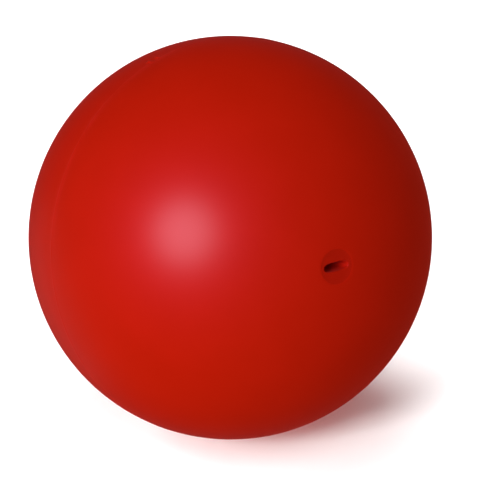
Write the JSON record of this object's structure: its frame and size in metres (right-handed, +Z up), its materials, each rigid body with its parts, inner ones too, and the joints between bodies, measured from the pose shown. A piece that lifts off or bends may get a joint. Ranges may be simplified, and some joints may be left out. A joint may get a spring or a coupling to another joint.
{
  "type": "massage ball",
  "caption": "Smooth hollow ball of soft plastic for massage, blown up with a needle through a small recessed self-sealing valve.",
  "frame": {"origin": "centre of the ball", "axes": "+Z up as the ball lies; the valve faces -Y and 13 degrees up from the horizontal, and its slit runs along X; the mould's parting line is a circle square to the valve's axis, its plane 1.4 mm from the centre towards the valve"},
  "size_m": [0.1002, 0.1, 0.1],
  "materials": {
    "skin": "smooth satin red, soft plasticised vinyl",
    "seat": "moulded red, firmer vinyl, not seen from outside",
    "plug": "smooth matt red, soft rubber in the ball's own colour"
  },
  "bodies": {
    "root": {"ball_skin": "skin", "valve_seat": "seat", "valve_plug": "plug"}
  },
  "joints": []
}
